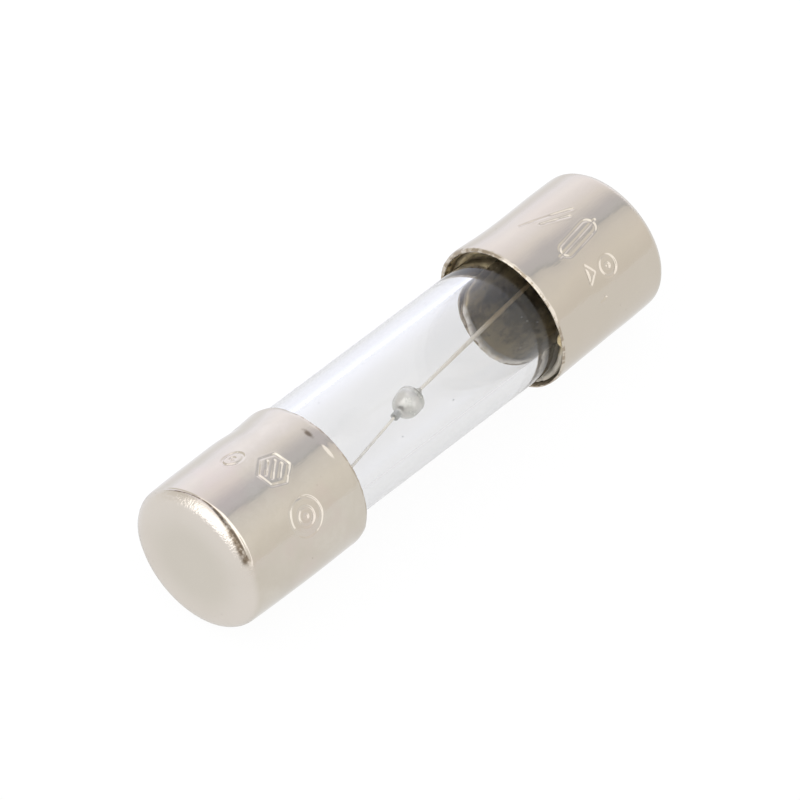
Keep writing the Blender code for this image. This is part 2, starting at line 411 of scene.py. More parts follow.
def nickel_material():
    """Barrel-plated nickel on brass: warm and bright on the drawn barrel, duller and grainy on the
    closed face with painted light towards its rim, painted shade where the near rim is folded,
    brown at the mouths, and stained with flux inside."""
    n = Material("nickel_plated_brass")
    x, y, z = n.axes()
    out = n.off_axis(y, z)
    end = n.maths("ABSOLUTE", x)
    far = n.remap(x, -1.0 * MM, 1.0 * MM)
    from_mouth = n.maths("SUBTRACT", n.maths("SUBTRACT", end, HALF_LENGTH - NEAR_LENGTH),
                         n.times(far, NEAR_LENGTH - FAR_LENGTH))
    face = n.remap(end, 9.60 * MM, 9.86 * MM)
    inner = n.times(n.remap(out, 2.50 * MM, 2.485 * MM), n.remap(end, 9.60 * MM, 9.50 * MM),
                    n.remap(from_mouth, 0.10 * MM, 0.22 * MM))

    # The plating: stains, fine mottle, a warm blush, and a closed face with painted light towards its rim
    stain = n.remap(n.noise(420.0, 4.0, 0.55, distortion=0.6), 0.35, 0.7)
    colour = n.mix(stain, NICKEL, NICKEL_STAINED)
    mottle = n.remap(n.noise(2600.0, 4.0, 0.7), 0.36, 0.64, 0.0, 0.55)
    colour = n.mix(mottle, colour, NICKEL_DULL)
    blush = n.remap(n.noise(640.0, 3.0, 0.6), 0.45, 0.70, 0.0, 0.75)
    colour = n.mix(blush, colour, NICKEL_BLUSH)
    colour = n.mix(n.times(far, 0.75), colour, NICKEL_FAR)
    # Painted light: the closed face's colour brightens from its middle towards its rim
    face_rim_lit = n.mix(n.remap(out, 0.9 * MM, 2.2 * MM), NICKEL_FACE, NICKEL_FACE_RIM_LIT)
    colour = n.mix(n.times(face, n.remap(stain, 0.0, 1.0, 1.0, 0.86)), colour, face_rim_lit)

    # Dirt and painted shade: pits, the brown lips, painted shade in the near rim's fold, a dark spot, and
    # flux inside
    pits = n.times(n.spots(1500.0, 0.055), n.remap(n.noise(500.0), 0.45, 0.6, 0.0, 0.4))
    colour = n.mix(pits, colour, DIRT_AND_SHADE)
    lip = n.times(n.remap(from_mouth, 0.10 * MM, 0.05 * MM),
                  n.remap(n.noise(3600.0, 3.0, 0.65), 0.42, 0.54, 0.0, 0.85),
                  n.remap(far, 0.0, 1.0, 0.6, 1.0))
    colour = n.mix(lip, colour, LIP_BROWN)
    # Painted shade: the near rim's fold darkened
    colour = n.mix(rim_fold_shade(n, x, y, z), colour, DIRT_AND_SHADE)
    # The colour darkened in a spot on the near barrel
    dark_spot = n.times(n.near(DARK_SPOT, DARK_SPOT_ACROSS, DARK_SPOT_ALONG),
                     n.remap(n.noise(3100.0, 2.0, 0.6), 0.35, 0.58, 0.1, 0.85))
    colour = n.mix(dark_spot, colour, DIRT_AND_SHADE)
    flux = n.mix(n.remap(n.noise(1500.0, 3.0, 0.6), 0.35, 0.65), FLUX_DARK, FLUX_LIGHT)
    colour = n.mix(inner, colour, flux)

    # The finish: drawing streaks, clouds and grain, and a sparkle round the closed face
    streak = n.noise(2200.0, 2.0, 0.6, stretch=(1.0, 9.0, 9.0))
    cloud = n.noise(900.0, 3.0, 0.6)
    roughness = n.plus(n.remap(cloud, 0.3, 0.75, 0.045, 0.09), n.remap(streak, 0.45, 0.8, 0.0, 0.04),
                       n.times(face, 0.06), n.times(lip, 0.15), n.times(inner, 0.32))
    grain = n.times(n.noise(5200.0, 2.0, 0.7), n.remap(face, 0.0, 1.0, 0.2, 1.0))
    sparkle = n.times(n.noise(13000.0, 2.0, 0.65), n.remap(end, 9.58 * MM, 9.75 * MM),
                      n.remap(out, 1.4 * MM, 2.1 * MM, 0.4, 1.0))
    normal = n.bump(grain, 0.006 * MM)
    normal = n.bump(sparkle, 0.020 * MM, normal)
    normal = n.bump(streak, 0.0020 * MM, normal)
    normal = n.bump(n.noise(1300.0, 2.0, 0.5), 0.006 * MM, normal)
    return n.set(Base_Color=colour, Metallic=1.0, Roughness=roughness, Normal=normal,
                 Specular_Tint=NICKEL_GLINT)


def rim_fold_shade(n, x, y, z):
    """Painted shade in the near rim's fold: a dark hair line that widens to a dark band where the fold is
    open.
    """
    turn = n.maths("ARCTAN2", z, y)

    def by_turn(start, end, first=0.0, last=1.0):
        return n.remap(turn, math.radians(start), math.radians(end), first, last)

    line = n.maths("SUBTRACT", by_turn(58.0, 100.0, -9.66 * MM, -9.52 * MM),
                   by_turn(106.0, 148.0, 0.0, 0.135 * MM))
    width = by_turn(92.0, 126.0, 0.05 * MM, 0.21 * MM)
    across = n.maths("DIVIDE", n.maths("SUBTRACT", x, line), width)
    band = n.times(n.remap(across, -1.25, -0.75), n.remap(across, 0.15, -0.15))
    window = n.times(by_turn(56.0, 72.0), by_turn(153.0, 147.0))
    patchy = n.remap(n.noise(5200.0, 3.0, 0.65), 0.3, 0.55, 0.35, 0.95)
    return n.times(band, window, patchy)


def glass_material():
    """Clear soda-lime tube, a touch grey in its depth, with faint drawing lines and a few specks."""
    n = Material("clear_glass")
    speck = n.spots(620.0, 0.035)
    film = n.remap(n.noise(700.0, 3.0, 0.6, stretch=(0.25, 1.0, 1.0)), 0.35, 0.75)
    colour = n.mix(film, GLASS, GLASS_FILM)
    colour = n.mix(n.times(speck, 0.7), colour, GLASS_SPECK)
    roughness = n.remap(film, 0.0, 1.0, 0.004, 0.014)
    normal = n.bump(n.noise(1500.0, 2.0, 0.5, stretch=(0.06, 1.0, 1.0)), 0.0006 * MM)
    depth = n.add("ShaderNodeVolumeAbsorption", {"Color": GLASS_DEPTH, "Density": GLASS_DENSITY})
    output = next(node for node in n.tree.nodes if node.type == "OUTPUT_MATERIAL")
    n.link(depth.outputs["Volume"], output.inputs["Volume"])
    return n.set(Base_Color=colour, Roughness=roughness, Normal=normal, Transmission_Weight=1.0, IOR=1.51)


def cement_material():
    """Brown cement and flux in lumps, with pale specks: painted nearly black as shade in the gap,
    paler and greyer at its low side, and crusted pale at the free edge on the side away from the camera."""
    n = Material("cement")
    x, y, z = n.axes()
    lump = n.noise(2100.0, 4.0, 0.65)
    tone = n.noise(700.0, 3.0, 0.6)
    colour = n.mix(n.remap(tone, 0.38, 0.60), CEMENT_BROWN, CEMENT_TAN)
    colour = n.mix(n.remap(lump, 0.50, 0.68, 0.0, 0.6), colour, CEMENT_LUMP)
    specks = n.times(n.spots(2600.0, 0.16), n.remap(n.noise(900.0), 0.46, 0.58, 0.0, 0.9))
    colour = n.mix(specks, colour, CEMENT_SPECK)
    out = n.off_axis(y, z)
    shaded = n.times(n.remap(out, 2.25 * MM, 2.30 * MM, 0.0, 0.75),
                     n.remap(n.reach(HANGING), 1.4 * MM, -0.2 * MM))
    dark = n.mix(n.remap(lump, 0.38, 0.62), CEMENT_DARK, CEMENT_DARK_TAN)
    colour = n.mix(shaded, colour, dark)
    # The colour paler and greyer towards the gap's low side
    pale_low_side = n.times(n.remap(out, 2.25 * MM, 2.30 * MM, 0.0, 0.8),
                    n.remap(n.reach(HANGING), 1.75 * MM, 2.2 * MM))
    colour = n.mix(pale_low_side, colour, CEMENT_PALE_GREY)
    crust = n.times(n.remap(n.maths("ABSOLUTE", x), 4.95 * MM, 4.87 * MM),
                    n.remap(n.reach(TOWARDS), -0.6 * MM, -1.2 * MM))
    colour = n.mix(n.times(crust, n.remap(lump, 0.35, 0.5, 0.5, 1.0)), colour, CEMENT_CRUST)
    roughness = n.remap(n.noise(2300.0, 3.0, 0.6), 0.35, 0.65, 0.32, 0.75)
    return n.set(Base_Color=colour, Roughness=roughness, Normal=n.bump(lump, 0.018 * MM),
                 Specular_IOR_Level=0.35)


def solder_material():
    """Tin solder that has set slightly frosted, with darker flux in its dips."""
    n = Material("solder")
    grain = n.noise(2500.0, 4.0, 0.65)
    colour = n.mix(n.remap(grain, 0.35, 0.7), SOLDER_BRIGHT, SOLDER_FLUXED)
    roughness = n.remap(n.noise(1500.0, 3.0, 0.5), 0.3, 0.7, 0.25, 0.48)
    return n.set(Base_Color=colour, Metallic=1.0, Roughness=roughness, Normal=n.bump(grain, 0.008 * MM))


def wire_material():
    """Silvered copper wire: pale cream with warmer streaks, and brown with flux in the far cap."""
    n = Material("silvered_copper")
    streak = n.remap(n.noise(2400.0, 3.0, 0.6, stretch=(0.3, 1.0, 1.0)), 0.35, 0.72)
    colour = n.mix(streak, SILVER, SILVER_WORN)
    fluxed = n.remap(n.axes()[0], 3.3 * MM, 5.1 * MM)
    colour = n.mix(fluxed, colour, WIRE_FLUXED)
    roughness = n.remap(n.noise(5000.0, 3.0, 0.6), 0.3, 0.7, 0.28, 0.45)
    normal = n.bump(n.noise(9000.0, 2.0, 0.5, stretch=(0.3, 1.0, 1.0)), 0.0015 * MM)
    return n.set(Base_Color=colour, Metallic=0.0, Roughness=roughness, Normal=normal, Specular_IOR_Level=1.0)


def tin_material():
    """The bead's tin: pale, semi-matt, greener and duller where it has oxidised, grey on its nose."""
    n = Material("tin")
    cloud = n.noise(1500.0, 4.0, 0.6)
    colour = n.mix(n.remap(cloud, 0.38, 0.66), TIN, TIN_OXIDISED)
    nose = n.remap(n.axes()[0], -0.60 * MM, -0.78 * MM, 0.0, 0.85)
    colour = n.mix(nose, colour, TIN_NOSE)
    roughness = n.remap(n.noise(2600.0, 3.0, 0.5), 0.3, 0.7, 0.16, 0.30)
    return n.set(Base_Color=colour, Metallic=0.40, Roughness=roughness, Normal=n.bump(cloud, 0.012 * MM))


# ---------------------------------------- stamped marks

def bend(centre, wide, high, start, end, steps):
    """A stroke along an ellipse between two angles in degrees, as points (along, across) in
    millimetres from the mark's centre."""
    turns = np.radians(np.linspace(start, end, steps))
    return [(centre[0] + wide * math.cos(a), centre[1] + high * math.sin(a)) for a in turns]


def closed(corners):
    """A closed stroke through the corners."""
    return corners + corners[:1]


def ring(wide, high):
    """A closed stroke round the mark's centre."""
    return bend((0.0, 0.0), wide, high, 0, 360, 48)


def stadium(half_length, radius):
    """A closed stroke round a slot shape with round ends."""
    left = bend((-half_length, 0.0), radius, radius, 90, 270, 14)
    right = bend((half_length, 0.0), radius, radius, -90, 90, 14)
    return closed(left + right)


def hexagon(half_long, half_flat, half_high):
    """A closed stroke with six corners, two of them at the ends of the long way."""
    return closed([(-half_long, 0.0), (-half_flat, -half_high), (half_flat, -half_high), (half_long, 0.0),
                   (half_flat, half_high), (-half_flat, half_high)])


# Marks: (along in mm, angle in degrees, turn in degrees, strokes); a straight stroke is its two ends
NEAR_MARKS = [
    (-7.55, -45.0, 15.0, [ring(0.36, 0.27), ring(0.08, 0.06)]),
    (-7.02, -17.5, -38.0, [hexagon(0.62, 0.34, 0.46), [(-0.26, -0.22), (0.30, -0.22)],
                           [(-0.34, 0.0), (0.36, 0.0)], [(-0.26, 0.22), (0.30, 0.22)]]),
    (-7.1, 23.0, 0.0, [ring(0.62, 0.64), ring(0.30, 0.31), ring(0.05, 0.05)]),
]
FAR_MARKS = [
    (7.28, -41.5, 26.5, [[(-0.93, 0.0), (0.93, 0.0)], [(-0.30, 0.27), (0.72, 0.27)]]),
    (7.32, -12.0, -8.0, [stadium(0.60, 0.25), [(-0.98, 0.0), (0.98, 0.0)]]),
    (7.62, 17.0, 0.0, [ring(0.32, 0.36), ring(0.06, 0.07)]),
    (6.88, 15.0, 20.0, [closed([(-0.16, -0.34), (0.17, -0.06), (-0.07, 0.32)])]),
    (6.95, 36.0, 10.0, [[(-0.12, 0.05), (0.14, -0.04)]]),
]
MARK_REACH = 2.0
STROKE_HALF_WIDTH = 0.040
STROKE_DEPTH = 0.028
# The raised lip beside a stroke; its place and width are in half widths of the stroke
STROKE_LIP = 0.005
STROKE_LIP_PLACE = 2.1
STROKE_LIP_WIDTH = 0.8
# How deep the most and least worn stretches are, as shares of the full depth
STROKE_FADE = (0.62, 1.0)
PRESS_DEPTH = 0.016
PRESS_REACH = 0.85


def bell(value, width):
    """1 where the value is zero, falling to nearly 0 at twice the width."""
    return np.exp(-((value / width) ** 2))


def distance_to(stroke, along, across):
    """Distance in millimetres from each grid point to a stroke's polyline."""
    nearest = np.full(along.shape, 9.0)
    for (x0, y0), (x1, y1) in zip(stroke, stroke[1:]):
        dx, dy = x1 - x0, y1 - y0
        length = max(dx * dx + dy * dy, 1e-12)
        share = np.clip(((along - x0) * dx + (across - y0) * dy) / length, 0.0, 1.0)
        nearest = np.minimum(nearest, np.hypot(along - x0 - share * dx, across - y0 - share * dy))
    return nearest


def stamped(marks, along, angle, radius):
    """How far the marks press the barrel in, in metres, over a grid of places on it."""
    depth = np.zeros_like(along)
    for middle, at, turn, strokes in marks:
        arc = (np.mod(angle - math.radians(at) + math.pi, TAU) - math.pi) * radius / MM
        x = along / MM - middle
        near = np.hypot(x, arc) < MARK_REACH
        c, s = math.cos(math.radians(turn)), math.sin(math.radians(turn))
        u = (x * c + arc * s)[near]
        v = (arc * c - x * s)[near]
        nearest = np.min([distance_to(stroke, u, v) for stroke in strokes], axis=0)
        groove = bell(nearest, STROKE_HALF_WIDTH)
        lip = bell(nearest - STROKE_LIP_PLACE * STROKE_HALF_WIDTH, STROKE_LIP_WIDTH * STROKE_HALF_WIDTH)
        press = np.exp(-((u**2 + v**2) / PRESS_REACH**2))
        worn = 0.5 + 0.5 * waves(u, v, int(100 * abs(middle)), 6, 1.1, 0.3)
        worn = STROKE_FADE[0] + (STROKE_FADE[1] - STROKE_FADE[0]) * smooth(0.15, 0.75, worn)
        depth[near] += MM * (worn * (STROKE_LIP * lip - STROKE_DEPTH * groove) - PRESS_DEPTH * press)
    return depth


# ---------------------------------------- end caps

# The mesh's step on the marked sector, in mm, and elsewhere round the cap
FINE = 0.028
COARSE_DEGREES = 1.8
MARKED_SECTOR = (-70.0, 46.0)
# The mouth's rounded lip, in mm, and how deep in the wall has its full thickness
LIP_RADIUS = 0.034
LIP_THICKNESS = 0.064
LIP_RAGGED = 0.005
LIP_DEPTH = 0.24
LIP_MIDDLE = 0.13

# The near rim's fold: (angle in degrees, distance from the closed face, half width, depth)
RIM_FOLD = [(-75.0, 0.36, 0.030, 0.000), (-60.0, 0.38, 0.030, 0.008), (-26.0, 0.46, 0.030, 0.010),
            (-14.0, 0.44, 0.060, 0.030), (10.0, 0.38, 0.070, 0.036), (22.0, 0.32, 0.060, 0.030),
            (28.0, 0.30, 0.050, 0.000)]
# The fold's raised edge: its height as a share of the depth, its place and width in half widths
RIM_FOLD_LIP = 1.0 / 3.0
RIM_FOLD_LIP_PLACE = 1.7
RIM_FOLD_LIP_WIDTH = 0.7

# The outer outline: (distance from the closed face, radius)
CLOSED_END = [(0.0, 1.95), (0.010, 2.08), (0.040, 2.215), (0.095, 2.335), (0.175, 2.435), (0.27, 2.505),
              (0.37, 2.543), (0.47, 2.555), (0.62, 2.560)]
NEAR_BARREL = [(1.2, 2.578), (1.8, 2.590), (2.6, 2.592), (3.6, 2.588), (4.3, 2.586), (4.75, 2.588),
               (4.92, 2.590), (5.08, 2.594), (5.17, 2.588), (5.225, 2.575)]
FAR_BARREL = [(1.2, 2.566), (1.8, 2.572), (2.6, 2.576), (3.6, 2.582), (4.3, 2.588), (4.75, 2.594),
              (4.95, 2.598), (5.06, 2.598), (5.125, 2.590)]

# Dents and flares: (place along X, angle in degrees, height, reach along, reach in degrees)
NEAR_DENTS = [(-5.95, -98.0, -0.050, 0.50, 34.0), (-4.95, -92.0, 0.012, 0.25, 40.0),
              (-8.4, 8.0, 0.012, 0.7, 16.0), (-6.0, 4.0, 0.010, 0.5, 12.0),
              (-5.04, -4.5, 0.025, 0.085, 6.0)]
FAR_DENTS = [(4.95, -96.0, 0.055, 0.75, 42.0), (6.9, -100.0, -0.012, 0.8, 30.0),
             (6.15, -17.0, -0.022, 0.45, 10.0), (6.2, 5.0, 0.020, 0.45, 10.0),
             (5.35, 3.0, -0.014, 0.30, 9.0), (8.6, -8.0, 0.012, 0.5, 12.0)]

# Unevenness of the drawn barrel and the closed face, in mm
BARREL_UNEVEN = 0.0045
FACE_UNEVEN = 0.0020
# The radius at which the barrel's unevenness is read
UNEVEN_RADIUS = 2.6


def spline(points, step):
    """Points at most a step apart along a smooth curve through the given points."""
    points = np.asarray(points, float)
    ends = np.vstack((2 * points[0] - points[1], points, 2 * points[-1] - points[-2]))
    curve = [points[0]]
    for i in range(len(points) - 1):
        a, b, c, d = ends[i:i + 4]
        count = max(2, int(math.ceil(np.linalg.norm(c - b) / step)))
        for t in np.linspace(0.0, 1.0, count + 1)[1:]:
            curve.append(0.5 * (2 * b + (c - a) * t + (2 * a - 5 * b + 4 * c - d) * t**2
                                + (3 * b - a - 3 * c + d) * t**3))
    return [tuple(p) for p in curve]


def cap_angles():
    """Angles round a cap: close together where it is marked, wider apart elsewhere."""
    low, high = MARKED_SECTOR
    fine = math.degrees(FINE * MM / CAP_RADIUS)
    marked = np.arange(low, high, fine)
    rest = np.arange(high, low + 360.0 - 0.5 * COARSE_DEGREES, COARSE_DEGREES)
    return np.radians(np.concatenate((marked, rest)))


def cap_rows(length, barrel):
    """The cap's outline in millimetres, from the middle of its closed face, over the mouth, to
    its inside middle. Along is the distance from the closed face."""
    wall, edge, lip = WALL / MM, EDGE_RADIUS / MM, LIP_RADIUS
    rows = [(0.0, 0.0)] + straight_rows((0.0, 0.0), CLOSED_END[0], 0.08)
    rows += spline(CLOSED_END + barrel, FINE)
    mouth = barrel[-1][1]
    inside = mouth - wall
    mouth_inside = mouth - LIP_THICKNESS
    curl = 0.6 * lip
    rows += arc_rows((length - lip, mouth - 0.3 * lip - lip), lip, 68, 0, 7)
    rows += arc_rows((length - curl, mouth_inside + curl), curl, 0, -90, 5)
    rows += [(length - LIP_MIDDLE, 0.5 * (mouth_inside + inside)), (length - LIP_DEPTH, inside)]
    inner_closed = CLOSED_RADIUS / MM - wall
    rows += straight_rows((length - LIP_DEPTH, inside), (edge, inner_closed), 0.15)
    rows += arc_rows((edge, inner_closed - edge + wall), edge - wall, 90, 180, 8)
    rows += straight_rows((wall, inner_closed - edge + wall), (wall, 0.0), 0.2)
    rows.append((wall, 0.0))
    return rows


def rim_fold(along, angle):
    """The near rim's fold, in metres: a groove beside the closed face with a raised far edge."""
    turn = from_angle(np.degrees(angle), 0.0)
    turns, places, widths, depths = np.array(RIM_FOLD).T
    from_face = (HALF_LENGTH - np.abs(along)) / MM - np.interp(turn, turns, places)
    width = np.interp(turn, turns, widths)
    depth = np.interp(turn, turns, depths)
    edge = bell(from_face - RIM_FOLD_LIP_PLACE * width, RIM_FOLD_LIP_WIDTH * width)
    return MM * depth * (RIM_FOLD_LIP * edge - bell(from_face, width))


def end_cap(name, node, material, side, length, barrel, marks, dents, lean, seed):
    """A drawn cap: slightly flared, curled at the mouth, stamped, and faintly uneven."""
    rows = [(side * (HALF_LENGTH - along * MM), out * MM) for along, out in cap_rows(length / MM, barrel)]
    sign = 1.0 if row_normals(rows)[len(rows) // 3][1] > 0 else -1.0
    skin = 0.13 * MM

    def move(along, out, angle, normals):
        x = along / MM
        outer = (out > CLOSED_RADIUS - skin) * smooth(0.0, 0.3, normals[:, 1] * sign)[:, None]
        uneven = waves_round(x, UNEVEN_RADIUS, angle, seed, 6, 4.5, 1.4)
        offset = BARREL_UNEVEN * MM * uneven * outer
        offset += stamped(marks, along, angle, CAP_RADIUS) * outer
        for at, degrees, height, reach, width in dents:
            bump = bell(x - at, reach) * bell(from_angle(np.degrees(angle), degrees), width)
            offset += height * MM * bump * (out > CLOSED_RADIUS - WALL - skin)
        if side < 0:
            offset += rim_fold(along, angle) * outer
        mouth_zone = smooth(length - 0.20 * MM, length - 0.04 * MM, HALF_LENGTH - np.abs(along))
        ragged = waves_across(UNEVEN_RADIUS, angle, seed + 5, 12, 0.9, 0.18)
        offset += LIP_RAGGED * MM * ragged * mouth_zone
        dish = waves_across(out / MM, angle, seed + 2, 6, 3.5, 1.2)
        offset += FACE_UNEVEN * MM * dish * (np.abs(along) > HALF_LENGTH - 0.06 * MM)
        return offset * sign

    piece = turned(name, rows, cap_angles(), move, lean=lean)
    return dressed(piece, material, "nickel_plated_brass", node)


# ---------------------------------------- glass tube

GLASS_EDGE = 0.14 * MM
GLASS_SHRINK = 0.05 * MM
GLASS_SHOULDER = GLASS_END - 1.1 * MM
GLASS_SIDES = 400


def glass_tube(material):
    """The tube: a straight bore and melted round ends that are drawn in a little."""
    edge = GLASS_EDGE
    drawn_in = GLASS_RADIUS - GLASS_SHRINK - edge
    rows = arc_rows((GLASS_END - edge, drawn_in), edge, 90, 0, 8)
    rows += arc_rows((GLASS_END - edge, BORE_RADIUS + edge), edge, 0, -90, 8)
    rows += straight_rows(rows[-1], (-GLASS_END + edge, BORE_RADIUS), 0.25 * MM)
    rows += arc_rows((-GLASS_END + edge, BORE_RADIUS + edge), edge, 270, 180, 8)
    rows += arc_rows((-GLASS_END + edge, drawn_in), edge, 180, 90, 8)
    near_shoulder, far_shoulder = (-GLASS_SHOULDER, GLASS_RADIUS), (GLASS_SHOULDER, GLASS_RADIUS)
    rows += straight_rows(rows[-1], near_shoulder, 0.2 * MM) + [near_shoulder]
    rows += straight_rows(near_shoulder, far_shoulder, 0.6 * MM) + [far_shoulder]
    rows += straight_rows(far_shoulder, rows[0], 0.2 * MM)
    piece = turned("clear_glass_tube", rows, evenly(GLASS_SIDES), loop=True, lean=GLASS_LEAN)
    return dressed(piece, material, "clear_glass", "glass_tube")


# ---------------------------------------- cement and solder

# How deep in the mouth the cement's free edge is: (angle in degrees, mm)
CEMENT_FRONT = [(-150.0, 0.02), (-110.0, 0.30), (-60.0, 0.45), (30.0, 0.42), (55.0, 0.18), (74.0, 0.06),
                (118.0, 0.02), (138.0, -0.08), (166.0, -0.10), (183.0, -0.02)]
# Drops on that edge: (angle in degrees, reach in mm, half width in degrees)
CEMENT_DROPS = [(47.0, 0.15, 4.5), (-35.0, 0.10, 7.0), (158.0, 0.05, 4.0), (171.0, 0.07, 3.0),
                (-176.0, 0.05, 5.0)]
# Where the cement ends inside, from the closed face, and how far it keeps off glass and cap, in mm
CEMENT_BACK = 1.15
CEMENT_CLEAR = 0.006
CEMENT_SIDES = 300
CEMENT_STEPS = 34
CEMENT_RADIUS = 2.4
# The cap's outside radius along it: (distance from the closed face, radius)
CAP_PROFILE = [(0.5, 2.555), (1.8, 2.585), (5.2, 2.588)]


def cement_front(angles, seed):
    """The free edge's distance from the mouth, in mm: the table, drops, and a little raggedness."""
    degrees = from_angle(np.degrees(angles), 0.0)
    ragged = waves_across(CEMENT_RADIUS, angles, seed, 10, 1.6, 0.22)
    ragged *= np.interp(np.abs(degrees), (100.0, 130.0), (0.06, 0.04))
    front = np.interp(degrees, *np.array(CEMENT_FRONT).T, period=360.0) + ragged
    for at, reach, width in CEMENT_DROPS:
        front -= reach * np.exp(-((from_angle(degrees, at) / width) ** 4))
    return front


def cement_ring(name, node, material, side, length, lean, seed):
    """Cement in the gap between glass and cap, its free edge uneven and rounded."""
    angles = evenly(CEMENT_SIDES)
    front = (HALF_LENGTH - length) / MM + cement_front(angles, seed)
    back = HALF_LENGTH / MM - CEMENT_BACK
    shares = np.linspace(0.0, 1.0, CEMENT_STEPS)
    sideways = around(angles)[:, 1:] @ HANGING[1:]
    from_faces, cap_radii = np.array(CAP_PROFILE).T

    def skin(share, outside):
        along = back + (front - back) * share
        tube = GLASS_LEAN[0] + GLASS_LEAN[1] * side * along
        cap = lean[0] + lean[1] * side * along
        inner = GLASS_RADIUS / MM + CEMENT_CLEAR + sideways * tube
        wall = np.interp(HALF_LENGTH / MM - along, from_faces, cap_radii) - WALL / MM - CEMENT_CLEAR
        outer = np.maximum(wall + sideways * cap, inner + CEMENT_CLEAR)
        if outside:
            out = outer - 0.05 * max(0.0, (share - 0.94) / 0.06) ** 2
        else:
            out = inner
            along = along + np.minimum(0.10, 0.35 * (outer - inner)) * share**8
        points = around(angles) * out[:, None]
        points[:, 0] = side * along
        return points * MM

    grid = np.array([skin(share, True) for share in shares] + [skin(share, False) for share in shares[::-1]])
    piece = grid_object(name, grid, np.zeros(len(grid), bool), loop=True)
    return dressed(piece, material, "cement", node)


SOLDER_CORNER = 0.25 * MM
SOLDER_PLUG_RADIUS = BORE_RADIUS - 0.03 * MM
SOLDER_PLUG_REACH = 0.3 * MM
SOLDER_FILLET = 0.16 * MM
SOLDER_DOME_HEIGHT = 0.35 * MM
SOLDER_DOME_STEPS = 18
SOLDER_SIDES = 96
SOLDER_DIMPLES = 0.02 * MM


def solder_pool(name, node, material, side, seed):
    """Solder in the cap's bottom, domed and dimpled where it fills the end of the bore."""
    bottom = HALF_LENGTH - WALL - 0.5 * GAP
    top = GLASS_END + 0.5 * GAP
    out = CLOSED_RADIUS - WALL - GAP
    corner, plug = SOLDER_CORNER, SOLDER_PLUG_RADIUS
    foot = (top, plug + SOLDER_FILLET)
    rows = [(bottom, 0.0)] + straight_rows((bottom, 0.0), (bottom, out - corner), 0.3 * MM)
    rows += arc_rows((bottom - corner, out - corner), corner, 0, 90, 6)
    rows += [(top, out)] + straight_rows((top, out), foot, 0.2 * MM)
    rows += [foot, (top - 0.1 * MM, plug + 0.04 * MM), (top - SOLDER_PLUG_REACH, plug)]
    for turn in 0.5 * math.pi * np.arange(1, SOLDER_DOME_STEPS + 1) / SOLDER_DOME_STEPS:
        dome = SOLDER_PLUG_REACH + SOLDER_DOME_HEIGHT * math.sin(turn)
        rows.append((top - dome, plug * math.cos(turn)))
    rows[-1] = (rows[-1][0], 0.0)
    rows = [(side * along, radius) for along, radius in rows]

    def move(along, radius, angle, normals):
        inner = smooth(GLASS_END - 0.25 * MM, GLASS_END - 0.45 * MM, np.abs(along))
        ripple = waves_across(radius / MM, angle, seed, 6, 1.6, 0.6)
        return SOLDER_DIMPLES * ripple * inner

    piece = turned(name, rows, evenly(SOLDER_SIDES), move)
    return dressed(piece, material, "solder", node)


# ---------------------------------------- wire and bead

BEAD_CENTRE = np.array((-0.15 * MM, 0.0, 0.0)) + 0.245 * MM * HANGING
NEAR_EXIT = np.array((-8.7 * MM, 0.0, 0.0)) + 1.55 * MM * HANGING
FAR_EXIT = np.array((8.7 * MM, 0.0, 0.0)) - 0.46 * MM * HANGING - 1.41 * MM * TOWARDS
WIRE_AXIS = (FAR_EXIT - NEAR_EXIT) / np.linalg.norm(FAR_EXIT - NEAR_EXIT)
NEAR_WIRE = 0.049 * MM
FAR_WIRE = 0.080 * MM
HOOK_RADIUS = 0.26 * MM
HOOK_REACH = 2.0 * MM
# The straight stretch through the bead, each way, and the near half's sag
BEAD_STRETCH = 0.78 * MM
WIRE_BOW = 0.012 * MM
# Where tin begins to thicken the wire, and over what length
TINNED_FROM = -0.6 * MM
TINNED_LENGTH = 4.6 * MM
WIRE_UNEVEN = 0.05
WIRE_SIDES = 14


def hook_points(exit_point, side, radius):
    """The wire's end: out of the bore, over the glass's edge and out along its end face."""
    outward = np.array((0.0, exit_point[1], exit_point[2]))
    start_out = np.linalg.norm(outward)
    outward = outward / start_out
    end_along = GLASS_END + GAP + radius
    points = []
    for turn in np.linspace(0.0, 0.5 * math.pi, 7):
        along = end_along - HOOK_RADIUS * (1.0 - math.sin(turn))
        out = start_out + HOOK_RADIUS * (1.0 - math.cos(turn))
        points.append(np.array((side * along, 0.0, 0.0)) + outward * out)
    points.append(np.array((side * end_along, 0.0, 0.0)) + outward * HOOK_REACH)
    return points


def wire_points():
    """The wire's middle line: hook, bowed near half, bead, straight far half, hook."""
    near_side = BEAD_CENTRE - BEAD_STRETCH * WIRE_AXIS
    far_side = BEAD_CENTRE + BEAD_STRETCH * WIRE_AXIS
    points = hook_points(NEAR_EXIT, -1.0, NEAR_WIRE)[::-1]
    for share in np.linspace(0.0, 1.0, 40)[:-1]:
        bow = WIRE_BOW * math.sin(math.pi * share) * HANGING
        points.append(NEAR_EXIT + (near_side - NEAR_EXIT) * share + bow)
    for share in np.linspace(0.0, 1.0, 12)[:-1]:
        points.append(near_side + (far_side - near_side) * share)
    for share in np.linspace(0.0, 1.0, 40):
        points.append(far_side + (FAR_EXIT - far_side) * share)
    points += hook_points(FAR_EXIT, 1.0, FAR_WIRE)
    return np.array(points)


def end_poles(count):
    """Marks the first and the last ring of a grid as poles."""
    poles = np.zeros(count, bool)
    poles[0] = poles[-1] = True
    return poles


